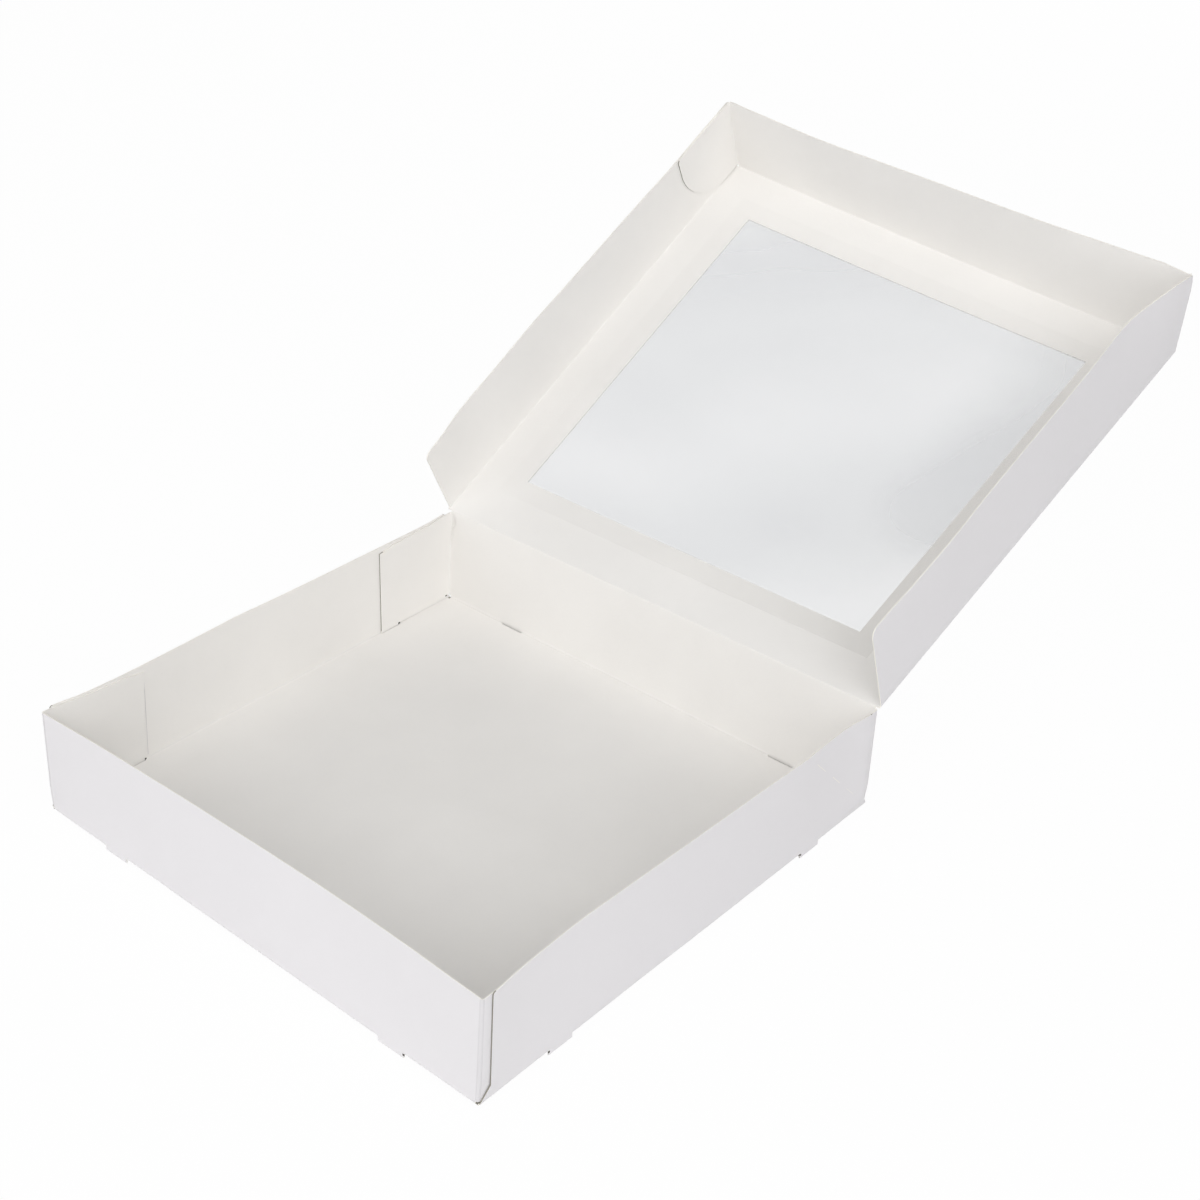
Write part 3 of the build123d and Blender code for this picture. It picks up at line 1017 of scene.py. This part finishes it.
def opened(x, v, w):
    """The place of a point of the level lid, x along the hinge, v from it and w above its top, once the lid is open."""
    tilt = tilt_at(x)
    across = HINGE_Y + v * math.cos(tilt) - w * math.sin(tilt)
    return Vector((x, across, HINGE_Z + v * math.sin(tilt) + w * math.cos(tilt)))


def flare(x, v):
    """How far a point of the lid is drawn out, away from the hinge."""
    return (v / LID_DEPTH) * LID_FLARE * (x / LID_HALF) ** 2


def lid_swell(x, v):
    """How far the lid's top stands out of its plane."""
    over = max(0.0, 1 - (x / LID_REACH) ** 2) * math.sin(math.pi * min(1, max(0, v / LID_DEPTH)))
    return over * ripple(x, v, LID_WAVES)


def lid_settled(p):
    """Where a point of the level lid comes to rest, with its walls leaning, once the lid is open."""
    x, v, w = p
    height = max(0.0, (w - CREASE_BEND) / (LID_WALL - CREASE_BEND))
    if abs(x) > LID_FLAP_FACE - FOLD_REACH and w > TOUCH:
        if x > 0:
            w *= 1 + (between(RIGHT_HEIGHT, v) / LID_WALL - 1) * height
            x += between(RIGHT_OUT, v) * height
        else:
            w *= 1 + (between(LEFT_HEIGHT, v) / LID_WALL - 1) * height
            x += between(LEFT_IN, v) * height
        if near(abs(p.x), LID_FLAP_FACE):
            x -= math.copysign(LID_FLAP_LIFT * (1 - ease(LID_FLAP_END, LID_FLAP_END + LIFT_LENGTH, v)), x)
        if v <= FAR_ZONE:
            v -= between(FAR_IN, x) * height * ease(*SIDE_FOLLOW, v)
    if v > FAR_ZONE and w > TOUCH:
        if abs(p.x) < LID_FLAP_FACE - FOLD_REACH:
            w *= 1 + (between(FAR_HEIGHT, x) / LID_WALL - 1) * height
            if p.x < -FAR_ENDS:
                x += between(LEFT_IN, LID_DEPTH) * height * min(1.0, (-FAR_ENDS - p.x) / FAR_END_WIDTH)
            elif p.x > FAR_ENDS:
                x += between(RIGHT_OUT, LID_DEPTH) * height * min(1.0, (p.x - FAR_ENDS) / FAR_END_WIDTH)
        v -= between(FAR_IN, x) * height
    if p.x > FAR_ENDS and w > TOUCH:
        tip = (1 - ease(*TIP_REACH, LID_FLAP_FACE - p.x + LID_DEPTH - p.y)) * ease(*TIP_HEIGHT, height)
        w -= TIP_DROP * tip
        x -= TIP_IN * tip
    v += flare(x, v)
    return opened(x, v, w + lid_swell(x, v))


def at_lid_flap_end(m):
    """Whether a place is on the free edge of one of the lid's flaps."""
    return near(abs(m.x), LID_FLAP_FACE, CLOSE) and m.y < LID_FLAP_EDGE_END and 0.5 < m.z < LID_FLAP_EDGE_TOP


def make_lid():
    """The lid, with its window cut out."""
    lid = lid_sheet()
    work_on(lid)
    cut("x", *steps(*LID_CUTS_X, WINDOW_LEFT, WINDOW_RIGHT))
    cut("y", *steps(*LID_CUTS_Y, WINDOW_REAR, WINDOW_FAR, LID_FLAP_END))
    cut("z", *steps(*LID_CUTS_Z))
    # Painted shade on the cut edges of the lid's flaps, which lie in a gap
    shade(lid, at_lid_flap_end)
    shift(lid, lid_settled)
    thicken(lid)
    return finished(lid)


def make_film():
    """The film, glued to the inside of the lid round the window."""
    film = flat_sheet(
        "window_sheet",
        (WINDOW_LEFT - FILM_MARGIN, WINDOW_RIGHT + FILM_MARGIN),
        (WINDOW_REAR - FILM_MARGIN, WINDOW_FAR + FILM_MARGIN),
        BOARD / 2 + GLUE + FILM / 2,
    )
    work_on(film)
    cut("x", WINDOW_LEFT, WINDOW_RIGHT, *steps(*FILM_CUTS_X))
    cut("y", WINDOW_REAR, WINDOW_FAR, *steps(*FILM_CUTS_Y))
    put_down()
    film.data.materials.clear()
    film.data.materials.append(FREE_FILM)
    film.data.materials.append(GLUED_FILM)
    for face in film.data.polygons:
        face.material_index = 0 if in_window(face.center) else 1

    def drawn(p):
        inside = min(p.x - WINDOW_LEFT, WINDOW_RIGHT - p.x, p.y - WINDOW_REAR, WINDOW_FAR - p.y, FILM_HELD)
        w = p.z + lid_swell(p.x, p.y) + max(0.0, inside / FILM_HELD) * ripple(p.x, p.y, FILM_WAVES)
        return opened(p.x, p.y + flare(p.x, p.y), w)

    shift(film, drawn)
    apply_modifier(film, "SOLIDIFY", thickness=FILM, offset=0.0, use_even_offset=True)
    return finished(film)


tray = make_tray()
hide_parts("tray")
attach(tray, "tray")

# The left side of the open lid stands higher than the right, and shuts as far: it turns a little less. So the turn
# grows along the hinge, from nothing at a place far to the left of the box to all of it at the lid's right side.
lid = make_lid()
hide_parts("lid")
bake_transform(lid)
film = make_film()
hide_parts("window_film")
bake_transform(film)


# ---------------------------------------------------------------- floor, lights and camera

WHITE = (1, 1, 1, 1)
FLOOR_SIZE = 16
FLOOR_TONE = (240, 240, 240)
FLOOR_WHITE = 0.97  # how much of the floor that the camera sees is plain white: the rest takes the box's shadow
FLOOR_HIDDEN = 3.8  # that white stops this far inside the walls, so it doesn't shine through gaps in the base
FILL_LIGHT = 0.35

# Soft lamps: degrees round from the box's front toward its right, degrees above level, and power
SOFTBOXES = {
    "front_low": (-20, 14, 9.2),
    "front_high": (20, 42, 10.5),
    "side_low": (70, 14, 8.5),
    "side_high": (70, 42, 8.8),
    "back_low": (200, 14, 6.0),
    "left_low": (275, 14, 3.5),
}
LAMP_DISTANCE, LAMP_SIZE = 1.9, 1.3
LAMP_AIM = Vector((0, 0, 0.06))

# The camera: its place in metres, the ways that it looks and that the picture runs across, its lens, and its shift
CAMERA_PLACE = (0.45893, -0.50908, 0.51965)
CAMERA_AHEAD = Vector((-0.5699, 0.6382, -0.5175))
CAMERA_ACROSS = Vector((0.7364, 0.6761, 0.0228))
LENS = 58.82
SENSOR = 36.0
SHIFT = 0.1044, 0.0023
FAR_CLIP = 50


def background_share(tree, most):
    """This share of 1 for what the camera sees directly, in gloss or through clear film, and 0 for other light."""
    path = node(tree, "ShaderNodeLightPath").outputs
    seen = maths(tree, "MAXIMUM", path["Is Camera Ray"], path["Is Glossy Ray"])
    return maths(tree, "MULTIPLY", maths(tree, "MAXIMUM", seen, path["Is Transmission Ray"]), most)


def mix_surface(tree, share, first, second, output):
    """Gives an output the first shader, with a share of the second."""
    mix = tree.nodes.new("ShaderNodeMixShader")
    for socket, source in zip(mix.inputs, (share, first, second)):
        tree.links.new(source, socket)
    tree.links.new(mix.outputs["Shader"], output.inputs["Surface"])


def make_floor():
    """A pale floor that keeps the box's shadow."""
    put_down()
    bpy.ops.mesh.primitive_plane_add(size=FLOOR_SIZE, location=(0, 0, 0))
    floor = bpy.context.object
    floor.name = floor.data.name = "floor"
    material = bpy.data.materials.new("floor_white")
    material.use_nodes = True
    tree = material.node_tree
    tree.nodes.clear()
    output = tree.nodes.new("ShaderNodeOutputMaterial")
    paper = node(tree, "ShaderNodeBsdfDiffuse", Color=linear(FLOOR_TONE)).outputs["BSDF"]
    white = node(tree, "ShaderNodeEmission", Color=WHITE, Strength=1.0).outputs["Emission"]
    place = node(tree, "ShaderNodeTexCoord").outputs["Object"]
    parts = node(tree, "ShaderNodeSeparateXYZ", Vector=place).outputs
    hidden = (SIDE - FLOOR_HIDDEN) / MILLIMETRES
    sides = [maths(tree, "GREATER_THAN", maths(tree, "ABSOLUTE", parts[axis]), hidden) for axis in ("X", "Y")]
    share = maths(tree, "MULTIPLY", background_share(tree, FLOOR_WHITE), maths(tree, "MAXIMUM", *sides))
    mix_surface(tree, share, paper, white, output)
    floor.data.materials.append(material)


def make_world():
    """White all round, with a soft even light for the box."""
    world = bpy.data.worlds.new("studio")
    bpy.context.scene.world = world
    world.use_nodes = True
    tree = world.node_tree
    tree.nodes.clear()
    output = tree.nodes.new("ShaderNodeOutputWorld")
    fill = node(tree, "ShaderNodeBackground", Color=WHITE, Strength=FILL_LIGHT).outputs["Background"]
    white = node(tree, "ShaderNodeBackground", Color=WHITE, Strength=1.0).outputs["Background"]
    mix_surface(tree, background_share(tree, 1.0), fill, white, output)


def softbox(name, azimuth, elevation, power):
    """A large square lamp that faces the box."""
    light = bpy.data.lights.new(name, "AREA")
    light.shape = "SQUARE"
    light.size = LAMP_SIZE
    light.energy = power
    lamp = bpy.data.objects.new(name, light)
    bpy.context.scene.collection.objects.link(lamp)
    turn, rise = math.radians(azimuth), math.radians(elevation)
    away = Vector((math.cos(rise) * math.sin(turn), -math.cos(rise) * math.cos(turn), math.sin(rise)))
    lamp.location = away * LAMP_DISTANCE + LAMP_AIM
    lamp.rotation_euler = (-away).to_track_quat("-Z", "Y").to_euler()


def make_camera():
    """The camera, at the photograph's viewing angle."""
    data = bpy.data.cameras.new("camera")
    data.lens = LENS
    data.sensor_width = SENSOR
    data.shift_x, data.shift_y = SHIFT
    data.clip_end = FAR_CLIP
    camera = bpy.data.objects.new("camera", data)
    bpy.context.scene.collection.objects.link(camera)
    ahead = CAMERA_AHEAD.normalized()
    across = (CAMERA_ACROSS - CAMERA_ACROSS.dot(ahead) * ahead).normalized()
    up = across.cross(ahead)
    turn = Matrix((across, up, -ahead)).transposed().to_4x4()
    camera.matrix_world = Matrix.Translation(CAMERA_PLACE) @ turn
    bpy.context.scene.camera = camera


make_floor()
make_world()
for name, (azimuth, elevation, power) in SOFTBOXES.items():
    softbox(name, azimuth, elevation, power)
make_camera()

scene = bpy.context.scene
scene.view_settings.view_transform = "Standard"
